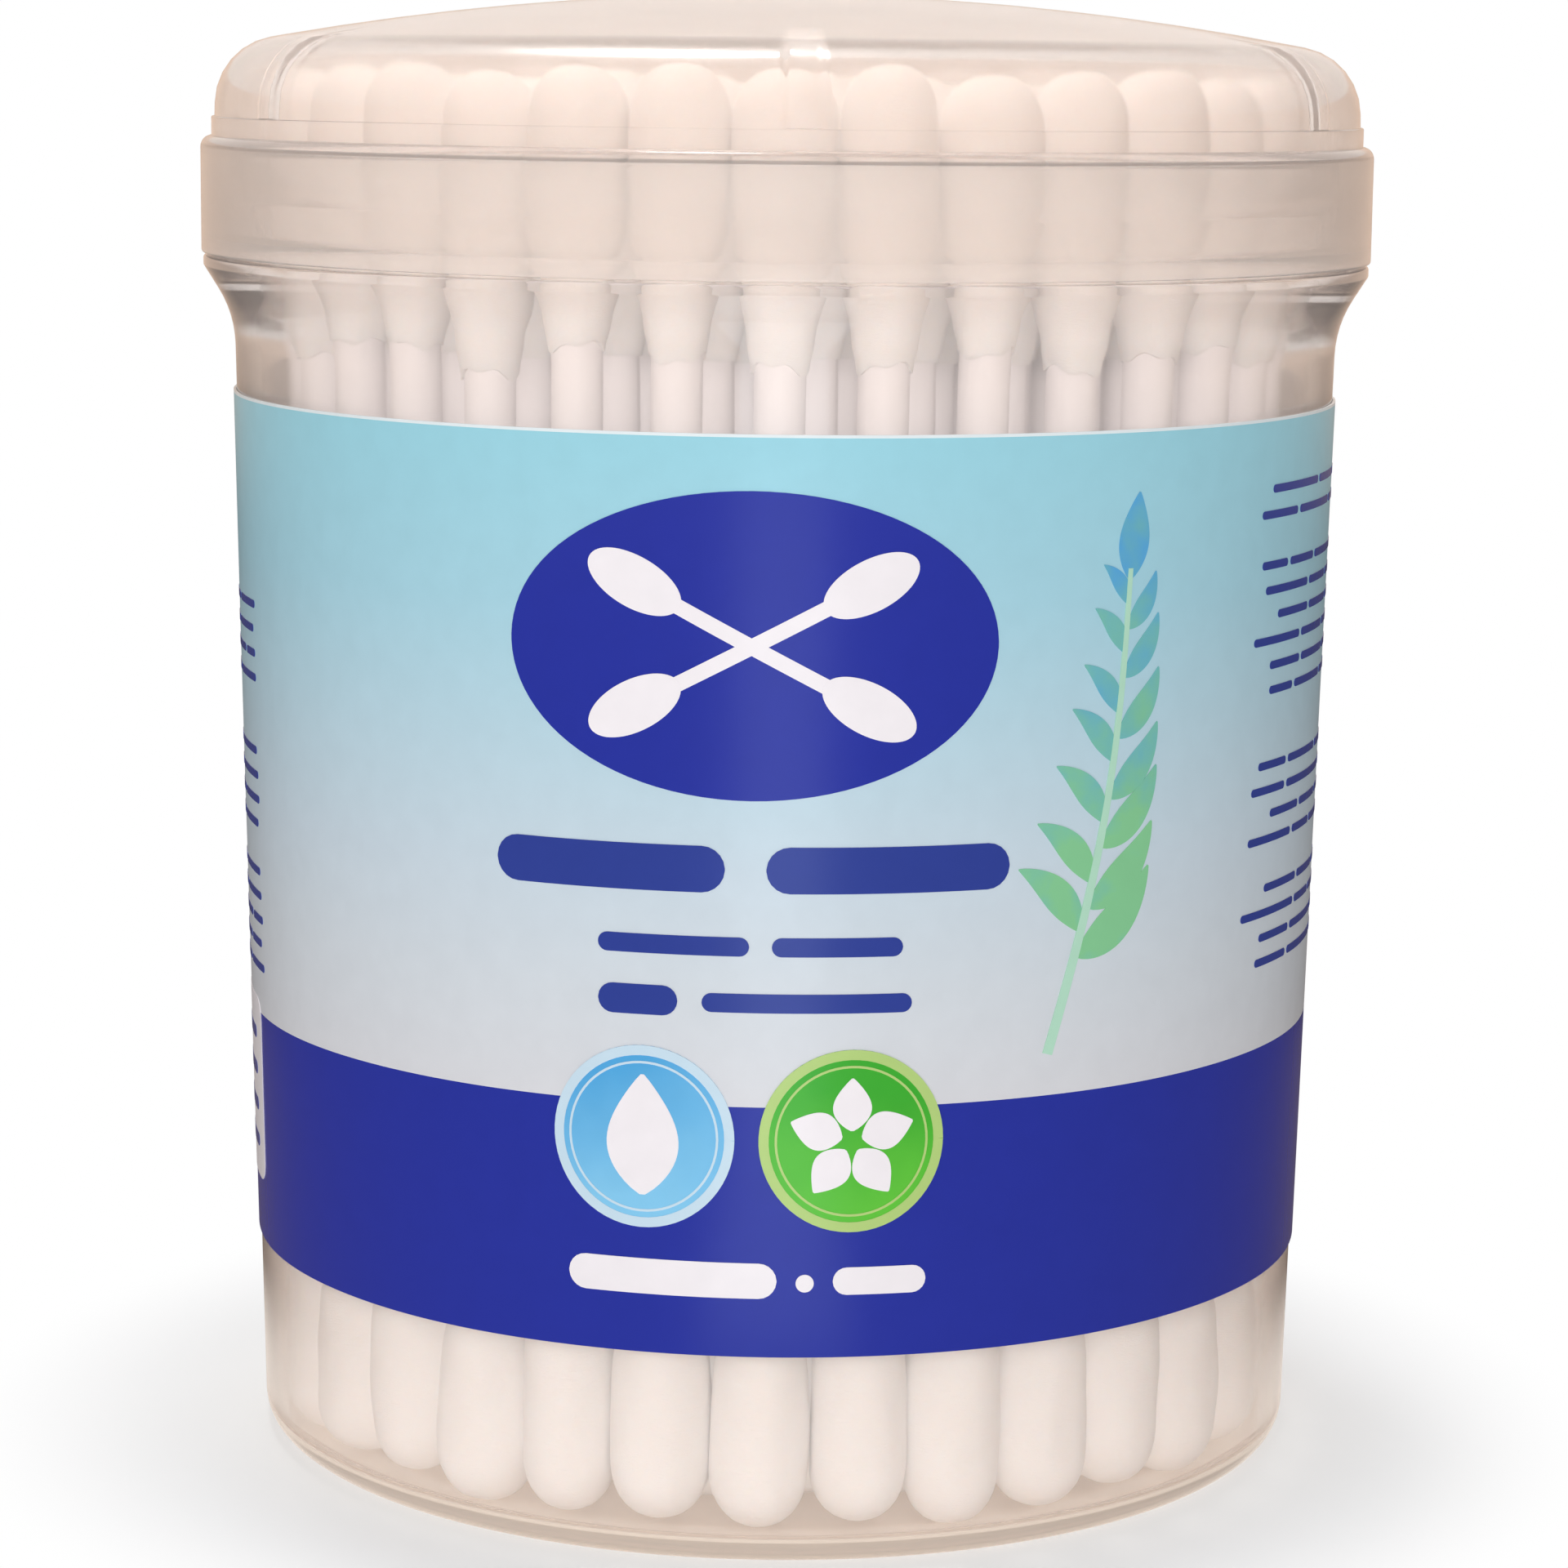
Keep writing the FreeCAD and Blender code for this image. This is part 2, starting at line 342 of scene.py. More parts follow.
# A shallow dome: radius = sphere * sin(a), height = apex - sphere * (1 - cos(a)), with a from its edge to the middle
def domeRows(edgeRadius, edgeHeight, rise, rows):
    sphere = (edgeRadius**2 + rise**2) / (2 * rise)
    angle = np.linspace(np.arcsin(edgeRadius / sphere), 0.0005, rows)
    return np.stack([sphere * np.sin(angle), edgeHeight + rise - sphere * (1 - np.cos(angle))], -1)


def lidProfile(form):
    skirtRadius, bottom = lidHigh[0], lidLow[2]
    skirtInner = skirtRadius - form["skirtWall"]
    outer = skirtRadius - form["wallInset"]
    inner = outer - form["wall"]
    seat = tubHigh[2] + form["seatGap"]
    shoulder = seat + form["shoulder"]
    collar = shoulder + form["collarHeight"]
    collarRadius = outer + form["collarStep"]
    bead = bottom + form["beadRise"]
    edge = lidHigh[2] - form["crownRise"]
    innerEdge = edge - form["crownThickness"]
    domeEdge = outer - form["draft"] - form["crownCorner"]
    fall = np.tan(np.arcsin(2 * domeEdge * form["crownRise"] / (domeEdge**2 + form["crownRise"]**2)))
    outerCorner = edge - fall * (outer - form["draft"] - domeEdge)
    innerCorner = innerEdge - fall * (inner - form["draft"] - domeEdge)
    inside = domeRows(domeEdge, innerEdge, form["crownRise"], form["domeRows"])[::-1]
    walls = roundedPath([
        (*inside[-1], 0),
        (inner - form["draft"], innerCorner, form["crownCorner"] - form["crownThickness"]),
        (inner, seat, 0),
        (skirtInner, seat, 0),
        (skirtInner, bead + form["beadHeight"] / 2, 0),
        (skirtInner - form["bead"], bead, 0),
        (skirtInner, bead - form["beadHeight"] / 2, 0),
        (skirtInner, bottom, form["skirtEdge"]),
        (skirtRadius, bottom, form["skirtEdge"]),
        (skirtRadius, shoulder, form["shoulderRounding"]),
        (collarRadius, shoulder, 0),
        (collarRadius, collar, form["collarRounding"]),
        (outer, collar, 0),
        (outer - form["draft"], outerCorner, form["crownCorner"]),
        (domeEdge, edge, 0),
    ])
    outside = domeRows(domeEdge, edge, form["crownRise"], form["domeRows"])
    profile = np.vstack([inside[:-1], walls, outside[1:]])
    # Ribs stand only on the outer wall above the collar, and run out over the rounded corner
    outsideFrom = np.argmax(np.hypot(profile[:, 0] - outer, profile[:, 1] - collar) < 0.001)
    onOutside = np.arange(len(profile)) >= outsideFrom
    ribShare = onOutside * np.clip((profile[:, 0] - domeEdge) / form["ribRunOut"], 0, 1)
    return profile, ribShare


def smoothStep(share):
    share = np.clip(share, 0, 1)
    return share * share * (3 - 2 * share)


# The turned lid, pushed out along its profile's normal by ribProud * ribShare * (1 inside a rib's width, else 0)
def lidGrid(form):
    profile, ribShare = lidProfile(form)
    radius = lidHigh[0] - form["wallInset"]
    half, side = form["ribWidth"] / 2 / radius, form["ribSide"] / radius
    middles = np.radians(-90 + form["ribTurn"]) + evenAngles(form["ribCount"])
    acrossEdge = side * np.linspace(-1, 1, 5)
    fine = middles[:, None] + np.concatenate([-half + acrossEdge, half + acrossEdge])
    angles = np.mod(np.concatenate([evenAngles(form["columns"]), fine.ravel()]), 2 * np.pi)
    angles = np.unique(np.round(angles, 5))
    away = np.abs((angles - middles[:, None] + np.pi) % (2 * np.pi) - np.pi).min(0)
    onRib = smoothStep((half + side / 2 - away) / side)
    along = np.gradient(profile, axis=0)
    normal = np.stack([along[:, 1], -along[:, 0]], -1) / np.linalg.norm(along, axis=1, keepdims=True)
    push = form["ribProud"] * ribShare[:, None] * onRib
    radius = profile[:, 0:1] + normal[:, 0:1] * push
    height = profile[:, 1:2] + normal[:, 1:2] * push
    return np.stack([radius * np.cos(angles), radius * np.sin(angles), height], -1)


def isSkirt(middles):
    return middles[:, 2] < tubHigh[2] + lidForm["seatGap"] + 0.2


makePiece(
    "milkyLid", "lid", [skin(lidGrid(lidForm))],
    [milkyPolyethylene, frostedPolyethylene], ["lid"], isSkirt,
)
print("lid made")


# Label

# Printed polypropylene film, glossy varnish over offset print: a graded field, a navy foot band, a faint orange peel
def labelFilm(look):
    material, tree = newMaterial("varnishedLabelFilm")
    place = placeInMm(tree)
    height = addNode(tree, "SeparateXYZ", {0: place}).outputs["Z"]
    share = addNode(tree, "MapRange", {
        "Value": height, "From Min": look["bandTop"], "From Max": labelHigh[2],
    }).outputs[0]
    ramp = addNode(tree, "ValToRGB", {"Fac": share})
    stops = ramp.color_ramp.elements
    while len(stops) < len(look["field"]):
        stops.new(0.5)
    for stop, (at, colour) in zip(stops, look["field"]):
        stop.position = at
        stop.color = linear(colour)
    band = addNode(tree, "Math", {0: height, 1: look["bandTop"]}, operation="LESS_THAN").outputs[0]
    edge = addNode(tree, "Math", {0: height, 1: labelHigh[2] - look["edgeWidth"]}, operation="GREATER_THAN").outputs[0]
    print1 = addNode(tree, "Mix", {0: band, 6: ramp.outputs["Color"], 7: linear(look["band"])}, data_type="RGBA")
    print2 = addNode(tree, "Mix", {0: edge, 6: print1.outputs[2], 7: linear(look["edge"])}, data_type="RGBA")
    finishMaterial(tree, varnishedPrint(tree, print2.outputs[2], look))
    return material


# Print under varnish: the ink's tone wanders a little, the gloss has a soft orange peel, and the thin film lets a share
# of a lamp's light through
def varnishedPrint(tree, colour, look):
    place = placeInMm(tree)
    tone = addNode(tree, "TexNoise", {"Vector": place, "Scale": 1 / look["toneSize"], "Detail": 4.0}).outputs["Fac"]
    light = addNode(tree, "MapRange", {
        "Value": tone, "To Min": 1 - look["toneShift"], "To Max": 1 + look["toneShift"],
    }).outputs[0]
    toned = addNode(tree, "HueSaturation", {"Color": colour, "Value": light})
    peel = addNode(tree, "TexNoise", {"Vector": place, "Scale": 1 / look["peelSize"], "Detail": 1.0})
    bump = addNode(tree, "Bump", {"Height": peel.outputs["Fac"], "Distance": look["peelDepth"] * mm, "Strength": 1.0})
    film = addNode(tree, "BsdfPrincipled", {
        "Base Color": toned.outputs["Color"],
        "Roughness": look["roughness"],
        "IOR": 1.48,
        "Specular IOR Level": look["gloss"],
        "Normal": bump.outputs["Normal"],
    })
    return passLamps(tree, film.outputs[0], look["lampShare"])


varnish = {
    "toneSize": 1.5, "toneShift": 0.04, "peelSize": 1.6, "peelDepth": 0.006, "roughness": 0.26, "gloss": 0.36,
    "lampShare": 0.7,  # share of a lamp's light that passes each face of the film and lights the swabs behind it
}
labelLook = {
    **varnish,
    "bandTop": 23.7,
    "band": "22309F",
    "edge": "E4EEF2",
    "edgeWidth": 0.15,
    "field": [
        (0.0, "D9DADF"), (0.17, "D3DAE1"), (0.35, "C9D8E3"), (0.55, "B9D6E3"), (0.75, "A6D3E2"), (1.0, "9AD4E3"),
    ],
}

labelForm = {
    "columns": 360,
    "rows": 12,
    "gap": 0.02,
    "film": 0.12,
    "lap": 5.0,  # width of the overlap at the back
    "lapTurn": 105.0,  # degrees from +X to the middle of the overlap
    "lapRun": 0.4,  # width over which the upper end climbs on to the lower one
    "slack": 0.05,  # how far the film stands off in its widest waves
    "printRadius": 29.0,  # radius at which widths along the label are measured
}


# Outside of the label: radius = wall + gap + film + slack * (a slow wave round the tub and up it, 0 to 1)
def labelRadius(angle, height):
    wave = 0.5 + 0.25 * np.sin(5 * angle + height / 9) + 0.25 * np.sin(11 * angle - height / 14 + 1)
    return wallRadius(height) + labelForm["gap"] + labelForm["film"] + labelForm["slack"] * wave


# The film goes once round and over its own start. Column k is at angle start + k, and the last ones climb by one film
def labelGrid(form):
    lapAngle = form["lap"] / wallRadius(labelHigh[2])
    start = np.radians(form["lapTurn"]) - lapAngle / 2
    angles = start + np.concatenate([
        np.linspace(0, 2 * np.pi, form["columns"]),
        2 * np.pi + np.linspace(0, lapAngle, 8)[1:],
    ])
    run = form["lapRun"] / wallRadius(labelHigh[2])
    climb = form["film"] * 1.1 * smoothStep((angles - start - 2 * np.pi + run) / run)
    heights = np.linspace(labelLow[2], labelHigh[2], form["rows"])[:, None]
    outer = labelRadius(angles, heights) + climb
    inner = outer - form["film"]
    radius = np.vstack([outer, inner[::-1]])
    height = np.vstack([heights, heights[::-1]])
    grid = np.stack([radius * np.cos(angles), radius * np.sin(angles), height + 0 * radius], -1)
    return grid.transpose(1, 0, 2)


def isBack(middles):
    away = np.hypot(middles[:, 0], middles[:, 1])
    return away < wallRadius(middles[:, 2]) + labelForm["gap"] + labelForm["film"] / 2


# The white film that the label is printed on, seen only from inside
whiteFilm, whiteFilmTree = newMaterial("whiteLabelFilm")
finishMaterial(whiteFilmTree, varnishedPrint(whiteFilmTree, linear("F4F3F2"), varnish))

makePiece(
    "labelFilm", "tub", [skin(labelGrid(labelForm)[:, ::-1])], [labelFilm(labelLook), whiteFilm],
    ["label"], isBack,
)
print("label made")


# Print on the label. Each mark is a stroke: a path along the label with a half width at each of its points.

# Point (s, t) of a stroke is path(t) + s * halfWidth(t) * across(t), for s from 1 to -1 on top and back below. The
# flat shape is then bent round the label: angle = -90 degrees + x / printRadius, and height = y.
def stroke(path, halfWidth, lift=0.03, across=3):
    path = np.array(path, float)
    halfWidth = np.array(halfWidth, float)
    along = np.gradient(path, axis=0)
    side = np.stack([-along[:, 1], along[:, 0]], -1) / np.linalg.norm(along, axis=1, keepdims=True)
    share = np.linspace(1, -1, across)
    share = np.concatenate([share, share[::-1]])
    level = np.repeat([lift, -0.02], across)
    flat = path[:, None] + side[:, None] * (share * halfWidth[:, None])[:, :, None]
    angle = np.radians(-90) + flat[:, :, 0] / labelForm["printRadius"]
    radius = labelRadius(angle, flat[:, :, 1]) + level
    return skin(np.stack([radius * np.cos(angle), radius * np.sin(angle), flat[:, :, 1]], -1))


# Ellipse as a stroke: x = -a * cos(t), half width = b * sin(t)
def oval(x, y, a, b, lift=0.03, turn=0, count=33):
    t = np.linspace(0.02, np.pi - 0.02, count)
    reach = -a * np.cos(t)
    path = np.stack([x + reach * np.cos(turn), y + reach * np.sin(turn)], -1)
    return stroke(path, b * np.sin(t), lift, across=3 if turn == 0 else 7)


# Bar with round ends: half width = h, and sqrt(h * h - d * d) at d beyond the middle of an end's circle
def bar(x0, x1, y, thickness, lift=0.03, turn=0):
    h = thickness / 2
    cap = h * (1 - np.cos(np.linspace(0.05, np.pi / 2, 6)))
    inner = np.linspace(x0 + h, x1 - h, max(3, int((x1 - x0) / 0.8)))
    x = np.concatenate([x0 + cap[:-1], inner, (x1 - cap[:-1])[::-1]])
    beyond = np.maximum(0, np.maximum(x0 + h - x, x - x1 + h))
    width = np.sqrt(np.maximum(h * h - beyond * beyond, 1e-6))
    centre = np.array([(x0 + x1) / 2, y])
    path = np.stack([(x - centre[0]) * np.cos(turn), (x - centre[0]) * np.sin(turn)], -1) + centre
    return stroke(path, width, lift, across=2 if turn == 0 else 5)


# Plate with rounded corners: half width = h - corner + sqrt(corner ** 2 - d ** 2) at d beyond a corner's middle
def plate(x0, x1, y0, y1, corner, lift=0.03):
    turn = corner * (1 - np.cos(np.linspace(0.05, np.pi / 2, 8)))
    inner = np.linspace(x0 + corner, x1 - corner, max(3, int((x1 - x0) / 0.8)))
    x = np.concatenate([x0 + turn[:-1], inner, (x1 - turn[:-1])[::-1]])
    beyond = np.maximum(0, np.maximum(x0 + corner - x, x - x1 + corner))
    half = (y1 - y0) / 2 - corner + np.sqrt(np.maximum(corner**2 - beyond**2, 1e-6))
    return stroke(np.stack([x, 0 * x + (y0 + y1) / 2], -1), half, lift, across=5)


# Ring: a stroke of even width round a circle, its two ends meeting
def ring(x, y, radius, width, lift=0.03, count=64):
    t = np.linspace(0, 2 * np.pi, count)
    path = np.stack([x + radius * np.cos(t), y + radius * np.sin(t)], -1)
    return stroke(path, 0 * t + width / 2, lift, across=3)


# Leaf: straight middle line of the given length and turn, half width = w * sin(pi * t) ** 0.8 * (1.15 - 0.5 * t)
def leaf(x, y, length, width, turn, lift=0.03, bend=0.0):
    t = np.linspace(0.01, 0.99, 21)
    way = turn + bend * (t - 0.5)
    path = np.stack([x + length * t * np.cos(way), y + length * t * np.sin(way)], -1)
    return stroke(path, width / 2 * np.sin(np.pi * t) ** 0.8 * (1.15 - 0.5 * t), lift, across=7)


def printInk(name, colour, **changes):
    material, tree = newMaterial(name)
    finishMaterial(tree, varnishedPrint(tree, linear(colour), {**varnish, **changes}))
    return material


# Ink laid on like watercolour: it runs from one colour at the foot to another at the top, in soft clouds
def cloudedInk(name, low, high, bottom, top, cloud):
    material, tree = newMaterial(name)
    place = placeInMm(tree)
    height = addNode(tree, "SeparateXYZ", {0: place}).outputs["Z"]
    clouds = addNode(tree, "TexNoise", {"Vector": place, "Scale": 1 / cloud, "Detail": 3.0}).outputs["Fac"]
    share = addNode(tree, "MapRange", {"Value": height, "From Min": bottom, "From Max": top}).outputs[0]
    shifted = addNode(tree, "Math", {0: clouds, 1: 1.6, 2: -0.8}, operation="MULTIPLY_ADD").outputs[0]
    mixed = addNode(tree, "Math", {0: share, 1: shifted}, operation="ADD", use_clamp=True).outputs[0]
    colour = addNode(tree, "Mix", {0: mixed, 6: linear(low), 7: linear(high)}, data_type="RGBA")
    finishMaterial(tree, varnishedPrint(tree, colour.outputs[2], varnish))
    return material


navyInk = printInk("navyPrintingInk", "22309F")
textInk = printInk("darkBluePrintingInk", "2C3F96")
whiteInk = printInk("whitePrintingInk", "F3EEF2")
paleInk = printInk("paleBluePrintingInk", "C8DFEE")
limeInk = printInk("paleGreenPrintingInk", "B4D27E")
skyInk = cloudedInk("skyBluePrintingInk", "84CAF0", "50A8E0", 17, 27, 8.0)
greenInk = cloudedInk("leafGreenPrintingInk", "62C83C", "3CAE30", 17, 27, 8.0)
sprigInk = cloudedInk("wateryBlueGreenInk", "86CC96", "58A8DA", 36, 54, 3.0)
stemInk = printInk("paleGreenWateryInk", "B4E0C8")

printPlan = {
    "panel": (-1.4, 46.4, 12.0, 7.5),  # middle and half sizes of the oval panel
    "headline": [(-14.3, -2.6), (-0.6, 11.5)],
    "blueDisc": (-6.64, 22.0),
    "greenDisc": (3.74, 22.0),
    "discRadius": 4.6,
    "whiteBox": (-52.0, -36.7, 14.3, 24.4),
}


def crossedSwabs(x, y):
    marks = []
    for turn in (np.radians(28), np.radians(152)):
        marks.append(bar(x - 6.2, x + 6.2, y, 0.75, 0.05, turn))
        for end in (-1, 1):
            marks.append(oval(x + end * 6.4 * np.cos(turn), y + end * 6.4 * np.sin(turn), 2.5, 1.25, 0.06, turn))
    return marks


def wordRow(x0, x1, y, thickness, words, seed, lift=0.03):
    # A row of bars whose lengths share the row unevenly, with even gaps between them
    chance = np.random.default_rng(seed)
    gap = thickness * 0.9
    shares = 0.5 + chance.random(words)
    lengths = (x1 - x0 - gap * (words - 1)) * shares / shares.sum()
    starts = x0 + np.concatenate([[0], np.cumsum(lengths + gap)[:-1]])
    return [bar(start, start + length, y, thickness, lift) for start, length in zip(starts, lengths)]


def makePrint(plan):
    x, y, a, b = plan["panel"]
    makePiece("printedPanel", "tub", [oval(x, y, a, b, count=49)], [navyInk])
    makePiece("printedSwabs", "tub", crossedSwabs(x, y), [whiteInk])
    textRows = [bar(x0, x1, 35.5, 2.3) for x0, x1 in plan["headline"]]
    textRows += [bar(-8.9, -1.4, 31.7, 0.95), bar(-0.3, 6.1, 31.7, 0.95)]
    textRows += [bar(-8.9, -4.9, 28.9, 1.5), bar(-3.7, 6.6, 28.9, 0.95)]
    makePiece("printedRows", "tub", textRows, [textInk])
    makePiece("printedFootRow", "tub", [
        bar(-10.5, 0.1, 14.9, 1.8), oval(1.5, 14.8, 0.45, 0.45), bar(2.9, 7.6, 14.9, 1.4),
    ], [whiteInk])
    radius = plan["discRadius"]
    discs = (("Blue", plan["blueDisc"], skyInk, paleInk), ("Green", plan["greenDisc"], greenInk, limeInk))
    for name, place, disc, edge in discs:
        makePiece(f"printed{name}Disc", "tub", [oval(*place, radius, radius)], [disc])
        rings = [ring(*place, radius - 0.25, 0.5, 0.05), ring(*place, radius - 0.85, 0.12, 0.05)]
        makePiece(f"printed{name}Ring", "tub", rings, [edge])
    x, y = plan["blueDisc"]
    drop = leaf(x, y - 3.0, 6.2, 4.0, np.pi / 2, 0.05)
    x, y = plan["greenDisc"]
    petals = [
        leaf(x + 0.5 * np.cos(way), y + 0.5 * np.sin(way), 2.7, 2.1, way, 0.05)
        for way in np.radians(90) + evenAngles(5)
    ]
    makePiece("printedDiscMarks", "tub", [drop, *petals], [whiteInk])
    t = np.linspace(0, 1, 41)
    stem = np.stack([13.9 + 4.0 * t + 1.0 * np.sin(np.pi * t), 25.8 + 24.0 * t], -1)
    makePiece("printedStem", "tub", [stroke(stem, 0.28 * (1 - 0.5 * t), 0.05)], [stemInk])
    sprig = []
    for k in range(14):
        at = stem[8 + int(2.3 * k)]
        size = (6.2 - 0.24 * k) * (0.84 if k % 2 else 1)
        turn = 126 - 0.8 * k if k % 2 else 32 + 1.2 * k
        sprig.append(leaf(*at, size, size * 0.36, np.radians(turn), 0.03 + 0.004 * (k % 3), 0.4))
    sprig.append(leaf(*stem[-2], 4.4, 2.0, np.radians(84), 0.03))
    makePiece("printedSprig", "tub", sprig, [sprigInk])
    small = []
    for k in range(20):
        if k not in (2, 9, 10, 15):
            half = 9.2 + 1.4 * np.sin(2.3 * k)
            small += wordRow(38.2 - half, 38.2 + half, 53.0 - 1.3 * k, 0.42, 4, k)
    for k in range(16):
        if k not in (4, 5, 10):
            small += wordRow(-56.0, -35.4 - 0.5 * np.sin(1.9 * k) ** 2, 45.8 - 1.3 * k, 0.42, 5, 40 + k)
    makePiece("printedSmallRows", "tub", small, [textInk])
    x0, x1, y0, y1 = plan["whiteBox"]
    makePiece("printedBox", "tub", [plate(x0, x1, y0, y1, 1.2)], [whiteInk])
    boxRows = [bar(x0 + 1.6, x1 - 1.6, y0 + 2 + 2 * k, 0.7, 0.05) for k in range(4)]
    makePiece("printedBoxRows", "tub", boxRows, [textInk])


makePrint(printPlan)
print("print made")


# Swabs

swabForm = {
    "length": 72.6,
    "stickRadius": 1.25,
    "budRadius": 2.3,
    "budLength": 14.0,
    "tipCotton": 1.0,
    "restGap": 0.02,
    "lift": 0.6,
    "wallGap": 0.1,
    "ringGap": 0.08,
    "counts": [32, 26, 20, 14, 7, 1],  # swabs in each ring, from the wall inward, and in the middle
    "splay": 0.03,
    "twist": 1.5,
    "sway": 0.4,
    "frontTurn": -0.9,
    "ringTurn": 5.0,
}


# Feet and axes of a ring's swabs: foot = radius at a swayed angle, axis = from the foot to the splayed top
def swabAxes(form, number):
    index = np.arange(form["counts"][number])
    count = len(index)
    foot = form["budRadius"]
    outerRadius = wallRadius(tubForm["floor"] + foot) - tubForm["wall"] - form["wallGap"] - foot
    radius = outerRadius - number * (2 * foot + form["ringGap"]) if count > 1 else 0
    twist = np.radians(form["twist"]) * (-1) ** number
    sway = form["sway"] * (radius * np.sin(np.pi / count) - foot) / radius if radius else 0
    angle = np.radians(-90 + form["frontTurn"] + form["ringTurn"] * number + 360 * index / count)
    low = angle - twist / 2 + sway * np.sin(2.4 * index + number)
    high = angle + twist / 2 + sway * np.sin(3.7 * index + number)
    top = radius * (1 + form["splay"])
    axes = np.stack([
        top * np.cos(high) - radius * np.cos(low), top * np.sin(high) - radius * np.sin(low),
        0 * angle + form["length"],
    ], -1)
    lift = form["lift"] * (1 + np.sin(2.1 * index + number)) / 2
    feet = np.stack([radius * np.cos(low), radius * np.sin(low), tubForm["floor"] + form["restGap"] + lift], -1)
    return feet, axes / np.linalg.norm(axes, axis=1, keepdims=True), angle


# Grids of turned shapes on several axes:
# point = foot + axis * height + radius * (cos(angle) * side + sin(angle) * front)
def onAxes(feet, axes, radius, height, angles):
    side = np.cross([0, 1.0, 0], axes)
    side /= np.linalg.norm(side, axis=1, keepdims=True)
    front = np.cross(axes, side)
    turned = np.cos(angles)[:, None] * side[:, None] + np.sin(angles)[:, None] * front[:, None]
    return feet[:, None, None] + axes[:, None, None] * height[..., None] + radius[..., None] * turned[:, None]


budForm = {
    "fineColumns": 32,
    "fineRows": 26,
    "coarseColumns": 14,
    "radius": 2.46,
    "tip": 2.9,  # length of the rounded tip
    "blunt": 2.4,  # 2 for an elliptic tip, more for a blunter one
    "taperFrom": 8.4,
    "taperTo": 12.0,
    "collar": 1.62,  # radius of the thin last layer of cotton, which thins on to the lip
    "lip": 1.38,  # radius where the cotton ends on the stick
    "lump": 0.04,  # uneven winding, as a share of the radius
    "endWave": 0.5,  # how far the cotton's end wanders up and down round the stick
    "widthSpread": 0.04,  # how much wider or narrower a bud is than the next, as a share of the radius
    "lengthSpread": 0.9,  # how much longer or shorter the cotton is from swab to swab
}


# Bud's radius at a height above its tip: a blunt tip (1 - (1 - h / tip) ** blunt) ** (1 / blunt), a body that swells
# slightly, an S-shaped taper to the collar, and another from there to the lip
def budRadius(form, height):
    tip = (1 - np.clip(1 - height / form["tip"], 0, 1) ** form["blunt"]) ** (1 / form["blunt"])
    body = form["radius"] * (0.93 + 0.07 * np.sin(np.pi * np.clip(height / 9, 0, 1)))
    taper = smoothStep((height - form["taperFrom"]) / (form["taperTo"] - form["taperFrom"]))
    thin = smoothStep((height - form["taperTo"]) / (swabForm["budLength"] - form["taperTo"]))
    return tip * (body + (form["collar"] - body) * taper + (form["lip"] - form["collar"]) * thin)


# Buds of one ring: radius = budRadius * (1 + lump * (three waves round and along the bud, shifted from bud to bud)).
# Towards the end on the stick the height is stretched by lengthSpread * sin(bud), and the last rows wander by endWave
def budSkins(form, feet, axes, fine, upper):
    columns = form["fineColumns"] if fine else form["coarseColumns"]
    length = swabForm["budLength"]
    if fine:
        along = np.concatenate([
            form["tip"] * (1 - np.cos(np.linspace(0.08, np.pi / 2, 8))),
            np.linspace(form["tip"], length, form["fineRows"] - 8)[1:],
        ])
    else:
        along = np.array([0.12, 0.7, 2.4, 8.6, 11.0, length])
    angles = evenAngles(columns)
    radius = budRadius(form, along)[None, :, None] + 0 * angles
    shift = np.arange(len(feet))[:, None, None] * 2.39 + (1.3 if upper else 0)
    if fine:
        wave = np.sin(2 * angles + 0.45 * along[:, None] + shift) * 0.5
        wave = wave + np.sin(3 * angles - 0.8 * along[:, None] + 2.1 * shift) * 0.3
        wave = wave + np.sin(5 * angles + 1.7 * along[:, None] + 3.7 * shift) * 0.2
        ease = smoothStep(along / 2.5)[:, None]
        spread = form["widthSpread"] * np.sin(1.3 * shift) * (1 - smoothStep(along / length)[:, None])
        radius = radius * (1 + form["lump"] * wave * ease + spread)
    radius = radius + 0 * shift
    height = along[None, :, None] + 0 * shift + 0 * angles
    if fine:
        stretch = smoothStep((along - form["taperFrom"] + 2) / (length - form["taperFrom"] + 2))[:, None]
        height = height + stretch * form["lengthSpread"] * np.sin(1.7 * shift + 0.6)
        wander = 0.6 * np.sin(2 * angles + 1.9 * shift) + 0.4 * np.sin(5 * angles - shift)
        height = height + stretch**4 * form["endWave"] * wander
    if upper:
        height = (swabForm["length"] - height)[:, ::-1]
        radius = radius[:, ::-1]
    grids = onAxes(feet, axes, radius, height, angles)
    return [skin(grid) for grid in pressedByWall(grids)]


# Cotton that would reach the tub's wall is pressed flat against it: the radius is kept to the wall's inside
def pressedByWall(grids):
    away = np.hypot(grids[..., 0], grids[..., 1])
    inside = wallRadius(grids[..., 2]) - tubForm["wall"] - 0.06
    keep = np.minimum(1, inside / np.maximum(away, 0.001))
    return np.concatenate([grids[..., :2] * keep[..., None], grids[..., 2:]], -1)


def stickSkins(feet, axes, columns):
    along = np.array([swabForm["tipCotton"], 1.4, swabForm["length"] - 1.4, swabForm["length"] - swabForm["tipCotton"]])
    height = along[None, :, None] + np.zeros((len(feet), 1, 1))
    radius = np.full((len(feet), len(along), columns), swabForm["stickRadius"])
    radius[:, [0, -1]] *= 0.9
    return [skin(grid) for grid in onAxes(feet, axes, radius, height, evenAngles(columns))]


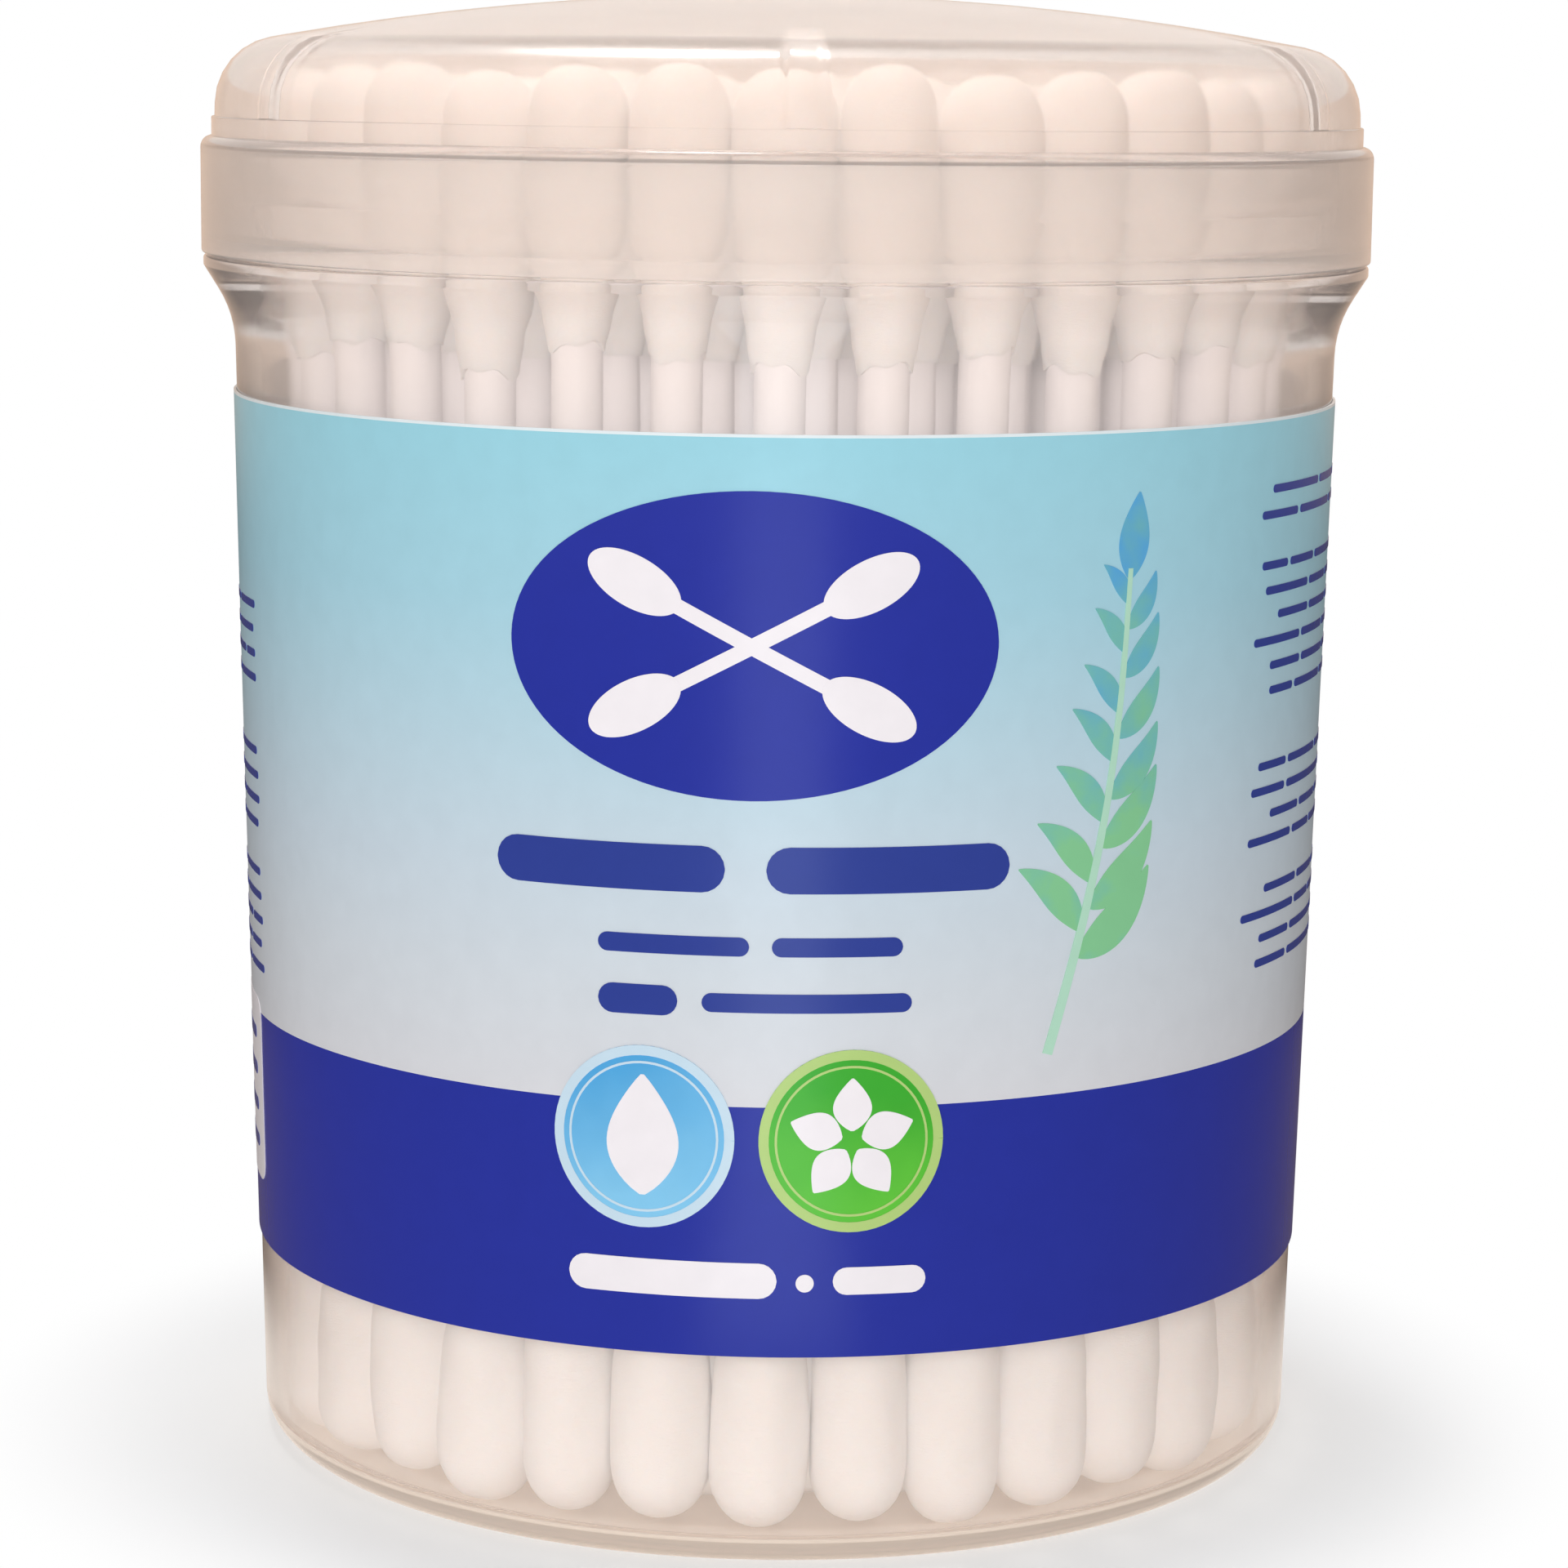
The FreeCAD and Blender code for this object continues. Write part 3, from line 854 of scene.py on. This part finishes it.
# Cotton wool wound on the stick: matte, soft at its edges, with fine fibres that run round the bud
def cottonWool(look):
    material, tree = newMaterial("woundCottonWool")
    fibres = addNode(tree, "TexNoise", {
        "Vector": placeInMm(tree, (1, 1, 3)), "Scale": 1 / look["fibre"], "Detail": 5.0, "Roughness": 0.6,
    }).outputs["Fac"]
    tufts = addNode(tree, "TexNoise", {
        "Vector": placeInMm(tree), "Scale": 1 / look["tuft"], "Detail": 2.0,
    }).outputs["Fac"]
    tuftBump = addNode(tree, "Bump", {"Height": tufts, "Distance": look["tuftDepth"] * mm, "Strength": 1.0})
    bump = addNode(tree, "Bump", {
        "Height": fibres, "Distance": look["fibreDepth"] * mm, "Strength": 0.8, "Normal": tuftBump.outputs["Normal"],
    })
    shade = addNode(tree, "Mix", {0: tufts, 6: linear(look["shade"]), 7: linear(look["colour"])}, data_type="RGBA")
    cotton = addNode(tree, "BsdfPrincipled", {
        "Base Color": shade.outputs[2],
        "Roughness": 0.95,
        "Specular IOR Level": 0.2,
        "Sheen Weight": look["sheen"],
        "Sheen Roughness": 0.6,
        "Subsurface Weight": look["glow"],
        "Subsurface Radius": (1.0, 0.8, 0.7),
        "Subsurface Scale": look["glowDepth"] * mm,
        "Normal": bump.outputs["Normal"],
    })
    finishMaterial(tree, passLamps(tree, cotton.outputs[0], look["lampShare"]))
    return material


# Extruded white stick: smooth, slightly lilac beside the warm cotton, with faint draw lines along it
def whiteStick(look):
    material, tree = newMaterial("extrudedWhiteStick")
    lines = addNode(tree, "TexNoise", {
        "Vector": placeInMm(tree, (1, 1, 0.05)), "Scale": 1 / look["lineSize"], "Detail": 2.0,
    }).outputs["Fac"]
    bump = addNode(tree, "Bump", {"Height": lines, "Distance": look["lineDepth"] * mm, "Strength": 1.0})
    tone = addNode(tree, "Mix", {0: lines, 6: linear(look["shade"]), 7: linear(look["colour"])}, data_type="RGBA")
    stick = addNode(tree, "BsdfPrincipled", {
        "Base Color": tone.outputs[2],
        "Roughness": look["roughness"],
        "IOR": 1.49,
        "Normal": bump.outputs["Normal"],
    })
    finishMaterial(tree, passLamps(tree, stick.outputs[0], look["lampShare"]))
    return material


cotton = cottonWool({
    "colour": "FDFBFA", "shade": "F9F5F3", "fibre": 0.25, "fibreDepth": 0.05, "tuft": 1.6, "tuftDepth": 0.12,
    "sheen": 0.15, "glow": 0.5, "glowDepth": 1.2,
    "lampShare": 0.86,  # share of a lamp's light that passes each face of the loose cotton
})
stickPlastic = whiteStick({
    "colour": "FDFAFC", "shade": "F9F5F8", "lineSize": 0.3, "lineDepth": 0.01, "roughness": 0.38, "lampShare": 0.93,
})

for number, count in enumerate(swabForm["counts"]):
    where = f"ring_{number + 1}" if count > 1 else "centre"
    feet, axes, angle = swabAxes(swabForm, number)
    fine = number == 0
    sticks = stickSkins(feet, axes, 20 if fine else 10)
    makePiece(f"sticks_{where}_drawn", "tub", sticks, [stickPlastic], [f"sticks_{where}"])
    for part, upper in (("lower_buds", False), ("upper_buds", True)):
        skins = budSkins(budForm, feet, axes, fine, upper)
        makePiece(f"{part}_{where}_wound", "tub", skins, [cotton], [f"{part}_{where}"], sharp=60)
print("swabs made:", sum(swabForm["counts"]))


# Stage

stageLook = {
    "floorSize": 3.0,
    "floorColour": "FAFAFA",
    "nearRadius": 0.030,  # metres from the tub's middle where the floor starts to fade to the white background
    "farRadius": 0.046,
    "worldColour": "FFFBF8",
    "worldLevel": 0.26,
    "mirroredWorld": "FBEFE7",  # the background as it shows in reflections
    "cardRadius": 0.11,
    "cardHeight": 0.085,
    "cardFrom": 10,  # degrees from the camera's side where the cards start
    "cardTo": 180,
    "cardLow": "5E544C",  # colours of the cards at their foot and top
    "cardHigh": "ECCDB6",
    "cardTurn": (0.038, 0.058),  # heights in metres between which one turns into the other
    "stripHalf": 0.015,  # half width of the pale strip card in front of the tub
    "stripHeight": 0.050,
    "stripColour": "F0F8FF",
    "stripLevel": 1.9,
    # Painted light: through the plastic and in reflections the floor is a flat glowing colour, without its shadow
    "throughFloor": "F0E4DA",  # the floor as it shows through the clear base
    "throughFar": "DCC8B8",  # and as it shows through the plastic farther out
    "mirroredFloor": "7A6A5E",  # and as it shows in reflections there
    "floorLift": 0.52,  # how much of the floor's shadow is filled in
}


# Share of rays that see the background itself: from the camera, and through or off clear and glossy surfaces
def sightRays(tree):
    path = addNode(tree, "LightPath")
    first = addNode(tree, "Math", {
        0: path.outputs["Is Camera Ray"], 1: path.outputs["Is Glossy Ray"],
    }, operation="MAXIMUM")
    both = addNode(tree, "Math", {0: first.outputs[0], 1: path.outputs["Is Transmission Ray"]}, operation="MAXIMUM")
    return both.outputs[0]


def makeFloor(look):
    size = look["floorSize"]
    mesh = bpy.data.meshes.new("floor")
    mesh.from_pydata([(-size, -size, 0), (size, -size, 0), (size, size, 0), (-size, size, 0)], [], [(0, 1, 2, 3)])
    material, tree = newMaterial("palePaintedFloor")
    place = addNode(tree, "TexCoord").outputs["Object"]
    away = addNode(tree, "VectorMath", {0: place}, operation="LENGTH").outputs["Value"]
    fade = addNode(tree, "MapRange", {
        "Value": away, "From Min": look["nearRadius"], "From Max": look["farRadius"],
    }, interpolation_type="SMOOTHSTEP").outputs[0]
    path = addNode(tree, "LightPath")
    away = addNode(tree, "Math", {0: fade, 1: sightRays(tree)}, operation="MULTIPLY").outputs[0]
    paint = addNode(tree, "BsdfDiffuse", {"Color": linear(look["floorColour"])})
    white = addNode(tree, "Emission", {"Color": (1, 1, 1, 1), "Strength": 1.0})
    lifted = addNode(tree, "MixShader", {0: look["floorLift"], 1: paint.outputs[0], 2: white.outputs[0]})
    shader = addNode(tree, "MixShader", {0: away, 1: lifted.outputs[0], 2: white.outputs[0]})
    # Rays through the plastic and off glossy surfaces see painted glowing colours instead of the lit floor, so its
    # shadow under the base is left out
    for ray, farColour in (("Is Glossy Ray", look["mirroredFloor"]), ("Is Transmission Ray", look["throughFar"])):
        tone = addNode(tree, "Mix", {0: fade, 6: linear(look["throughFloor"]), 7: linear(farColour)}, data_type="RGBA")
        flat = addNode(tree, "Emission", {"Color": tone.outputs[2], "Strength": 1.0})
        shader = addNode(tree, "MixShader", {0: path.outputs[ray], 1: shader.outputs[0], 2: flat.outputs[0]})
    finishMaterial(tree, shader.outputs[0])
    mesh.materials.append(material)
    floor = bpy.data.objects.new("floor", mesh)
    bpy.context.scene.collection.objects.link(floor)


def makeCard(name, points, faces, material):
    mesh = bpy.data.meshes.new(name)
    mesh.from_pydata(points, [], faces)
    mesh.materials.append(material)
    card = bpy.data.objects.new(name, mesh)
    bpy.context.scene.collection.objects.link(card)
    card.visible_camera = card.visible_diffuse = card.visible_shadow = card.visible_transmission = False


# Cards that only reflections see. Two are tall and curved, left and right: x = radius * sin(a),
# y = -radius * cos(a). The third is a pale strip before the tub, bent up from the floor, that makes the soft
# upright highlight down the label
def makeCards(look):
    material, tree = newMaterial("beigeCard")
    height = addNode(tree, "SeparateXYZ", {0: addNode(tree, "TexCoord").outputs["Object"]}).outputs["Z"]
    low, high = look["cardTurn"]
    share = addNode(tree, "MapRange", {"Value": height, "From Min": low, "From Max": high}).outputs[0]
    tone = addNode(tree, "Mix", {0: share, 6: linear(look["cardLow"]), 7: linear(look["cardHigh"])}, data_type="RGBA")
    beige = addNode(tree, "Emission", {"Color": tone.outputs[2], "Strength": 1.0})
    finishMaterial(tree, beige.outputs[0])
    for name, side in (("leftCard", -1), ("rightCard", 1)):
        a = side * np.radians(np.linspace(look["cardFrom"], look["cardTo"], 24))
        foot = np.stack([look["cardRadius"] * np.sin(a), -look["cardRadius"] * np.cos(a), 0 * a], -1)
        points = np.vstack([foot, foot + [0, 0, look["cardHeight"]]])
        k = np.arange(len(a) - 1)
        faces = np.stack([k, k + 1, k + 1 + len(a), k + len(a)], -1)
        makeCard(name, points.tolist(), faces.tolist(), material)
    pale, tree = newMaterial("paleCard")
    glow = addNode(tree, "Emission", {"Color": linear(look["stripColour"]), "Strength": look["stripLevel"]})
    finishMaterial(tree, glow.outputs[0])
    half, reach = look["stripHalf"], look["cardRadius"]
    rows = [(-reach * 0.54, 0.0005), (-reach * 0.98, 0.0005), (-reach * 1.02, look["stripHeight"])]
    points = [(side * half, y, z) for y, z in rows for side in (-1, 1)]
    makeCard("stripCard", points, [(0, 1, 3, 2), (2, 3, 5, 4)], pale)


def makeWorld(look):
    world = bpy.data.worlds.new("studio")
    bpy.context.scene.world = world
    world.use_nodes = True
    tree = world.node_tree
    tree.nodes.clear()
    lit = addNode(tree, "Background", {"Color": linear(look["worldColour"]), "Strength": look["worldLevel"]})
    white = addNode(tree, "Background", {"Color": (1, 1, 1, 1), "Strength": 1.0})
    beige = addNode(tree, "Background", {"Color": linear(look["mirroredWorld"]), "Strength": 1.0})
    path = addNode(tree, "LightPath")
    shader = addNode(tree, "MixShader", {0: sightRays(tree), 1: lit.outputs[0], 2: white.outputs[0]})
    for ray, sky in (("Is Glossy Ray", beige), ("Is Transmission Ray", white)):
        shader = addNode(tree, "MixShader", {0: path.outputs[ray], 1: shader.outputs[0], 2: sky.outputs[0]})
    addNode(tree, "OutputWorld", {"Surface": shader.outputs[0]})


lamps = {
    "keyLamp": {"place": (-0.13, -0.92, 0.27), "size": 0.45, "watts": 4.5, "mirrored": False},
    "backLamp": {"place": (0.3, 0.8, 0.4), "size": 0.45, "watts": 1.8, "mirrored": False},
    "topLamp": {"place": (-0.1, 0.2, 0.9), "size": 0.15, "watts": 2.1, "mirrored": True},
}


def makeLamps(plan):
    for name, lamp in plan.items():
        data = bpy.data.lights.new(name, "AREA")
        data.shape = "DISK"
        data.size = lamp["size"]
        data.energy = lamp["watts"]
        light = bpy.data.objects.new(name, data)
        bpy.context.scene.collection.objects.link(light)
        way = Vector((0, 0, 0.04)) - Vector(lamp["place"])
        light.visible_glossy = lamp["mirrored"]
        light.visible_transmission = False
        light.matrix_world = Matrix.Translation(lamp["place"]) @ way.to_track_quat("-Z", "Y").to_matrix().to_4x4()


cameraView = {
    "place": (0.0002, -0.2365, 0.0739),
    "pitch": 9.351,  # degrees below the horizon
    "roll": 0.635,
    "lens": 100.23,
}


def makeCamera(view):
    data = bpy.data.cameras.new("camera")
    data.lens = view["lens"]
    data.sensor_width = 36
    data.clip_start = 0.01
    camera = bpy.data.objects.new("camera", data)
    bpy.context.scene.collection.objects.link(camera)
    camera.matrix_world = (
        Matrix.Translation(view["place"])
        @ Matrix.Rotation(np.radians(90 - view["pitch"]), 4, "X")
        @ Matrix.Rotation(np.radians(view["roll"]), 4, "Z")
    )
    bpy.context.scene.camera = camera


makeFloor(stageLook)
makeCards(stageLook)
makeWorld(stageLook)
makeLamps(lamps)
makeCamera(cameraView)
bpy.context.scene.view_settings.view_transform = "Standard"
print("stage made")
